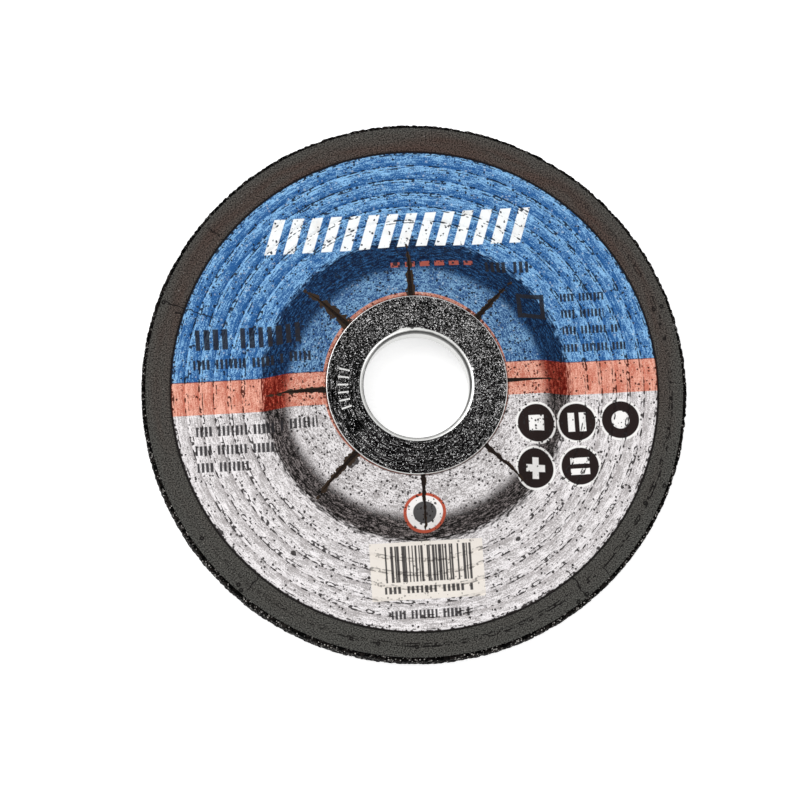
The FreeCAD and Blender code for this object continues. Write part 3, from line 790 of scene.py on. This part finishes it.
# Zinc-plated pressed steel: a dull grey metal with a crystalline sparkle, drawn coarser than it is so that
# it shows, with fine scratches round the axis, a polished lip with painted highlight and thin lines of
# painted shade on the lip's rounding.
crystal, cloud_size, scratch_length, scratch_width = 0.15, 2.2, 8.0, 0.17
grain_contrast, grain_height = 8.2, 0.03
grain_dark, grain_bright, sparkle_white = "020202", "D6D4D4", "E4E4E4"
lip_highlight_white, tick_white, shade_and_nick_dark = "DEDEDC", "C4C4C2", "1E1D1D"
steel, tree, shader = new_material("zinc_plated_steel")
flat, radius, turn = disc_place(tree)
crystals = node(tree, "TexVoronoi", {"Vector": flat, "Scale": 1 / crystal})
lot = node(tree, "SeparateColor", {0: crystals.outputs["Color"]})
cloud = node(tree, "TexNoise", {"Vector": flat, "Scale": 1 / cloud_size, "Detail": 4, "Roughness": 0.6})
clouded = node(tree, "Math", {0: cloud, 1: 0.5, 2: -0.25}, operation="MULTIPLY_ADD")
grain_shade = node(tree, "Math", {0: lot.outputs[0], 1: clouded}, operation="ADD")
scratches = drawn_out(tree, flat, radius, scratch_length, scratch_width)
scratches = node(tree, "TexNoise", {"Vector": scratches, "Scale": 1.0, "Detail": 1})
line_shade = node(tree, "MapRange", {"Value": scratches, "From Min": 0.35, "From Max": 0.65})
scratched = node(tree, "MapRange", {
    "Value": towards(tree, flat, scuffed_bearing), "From Min": scuffs_start, "From Max": scuffs_full,
    "To Min": least_scuffed, "To Max": most_scuffed})
shade = node(tree, "Mix", {0: scratched, 2: grain_shade, 3: line_shade}).outputs[0]
shade = node(tree, "Math", {0: shade, 1: 0.0}, operation="MAXIMUM")
shade = node(tree, "Math", {0: shade, 1: grain_contrast}, operation="POWER")
metal = layer(tree, shade, colour(grain_dark), colour(grain_bright))
sparkle = node(tree, "MapRange", {"Value": lot.outputs[1], "From Min": 0.95, "From Max": 0.98, "To Max": 0.8})
metal = layer(tree, sparkle, metal, colour(sparkle_white))

# Painted highlight: the bright lip widens towards one bearing.
glint = node(tree, "MapRange", {"Value": towards(tree, flat, glint_bearing), "From Min": glint_starts,
                                "From Max": glint_full, "To Max": glint_width})
lip = node(tree, "Math", {0: radius, 1: together(tree, [glint, cloud], "MULTIPLY")}, operation="SUBTRACT")
lip = node(tree, "MapRange", {"Value": lip, "From Min": lip_bright, "From Max": lip_bright - lip_fade})
nick = smaller(tree, circle(tree, flat, at_bearing(*lip_nick)), lip_nick_radius)
# The flange's rounded edge, rubbed bright and given a painted highlight.
border_start = flange_edge - border_width
border = node(tree, "MapRange", {"Value": radius, "From Min": border_start,
                                 "From Max": border_start + border_fade})
polish_and_highlight = together(tree, [lip, nick, border], "MAXIMUM")
metal = layer(tree, polish_and_highlight, metal, colour(lip_highlight_white))

tick = node(tree, "Math", {0: turn, 1: ticks_per_turn}, operation="MULTIPLY")
tick = away_from(tree, node(tree, "Math", {0: tick}, operation="FRACT"), 0.5)
tick = smaller(tree, tick, tick_share / 2, 0.05)
tick_row = smaller(tree, away_from(tree, radius, tick_radius), tick_half_length)
ticked = node(tree, "Math", {0: turn}, operation="ABSOLUTE")
ticked = node(tree, "Math", {0: ticked, 1: ticks_from}, operation="GREATER_THAN")
stamped = together(tree, [tick, tick_row, ticked], "MULTIPLY")
metal = layer(tree, stamped, metal, colour(tick_white))

uneven = node(tree, "MapRange", {"Value": cloud, "From Min": 0.3, "From Max": 0.7, "To Min": -0.08,
                                 "To Max": 0.08})
wandering = node(tree, "Math", {0: radius, 1: uneven}, operation="ADD")
shaded_side = node(tree, "MapRange", {"Value": towards(tree, flat, shaded_bearing),
                                      "From Min": shade_starts, "From Max": shade_full})
rise = node(tree, "SeparateXYZ", {0: node(tree, "TexCoord").outputs["Object"]}).outputs["Z"]
above_wall = node(tree, "MapRange", {"Value": rise, "From Min": wall_top, "From Max": rounding_foot})
# Painted shade: dark lines on the lip's rounding above the bore's wall, one only on one side, and a dark
# nick.
shade_lines_and_nick = []
for level, half_line, depth in lip_shade_lines:
    line = smaller(tree, away_from(tree, wandering, level), half_line, 0.08)
    shade_lines_and_nick.append(together(tree, [line, depth or shaded_side, above_wall], "MULTIPLY"))
shade_lines_and_nick.append(smaller(tree, circle(tree, flat, at_bearing(*dark_nick)), dark_nick_radius))
shade_lines_and_nick = node(tree, "Math", {0: together(tree, shade_lines_and_nick, "MAXIMUM"), 1: 0.85}, operation="MULTIPLY")
metal = layer(tree, shade_lines_and_nick, metal, colour(shade_and_nick_dark))

sunk = node(tree, "Math", {0: stamped, 1: 2.0}, operation="MULTIPLY")
grainy = node(tree, "Math", {0: lot.outputs[2], 1: sunk}, operation="SUBTRACT")
dull = node(tree, "Math", {0: 1.0, 1: polish_and_highlight}, operation="SUBTRACT")
height = together(tree, [grainy, dull], "MULTIPLY")
bump = node(tree, "Bump", {"Height": height, "Distance": grain_height * MM, "Strength": 0.5})
feed(tree, shader, {"Base Color": metal, "Metallic": 1.0, "Roughness": 0.32, "Normal": bump})
cover(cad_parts["centre_ring"], steel)
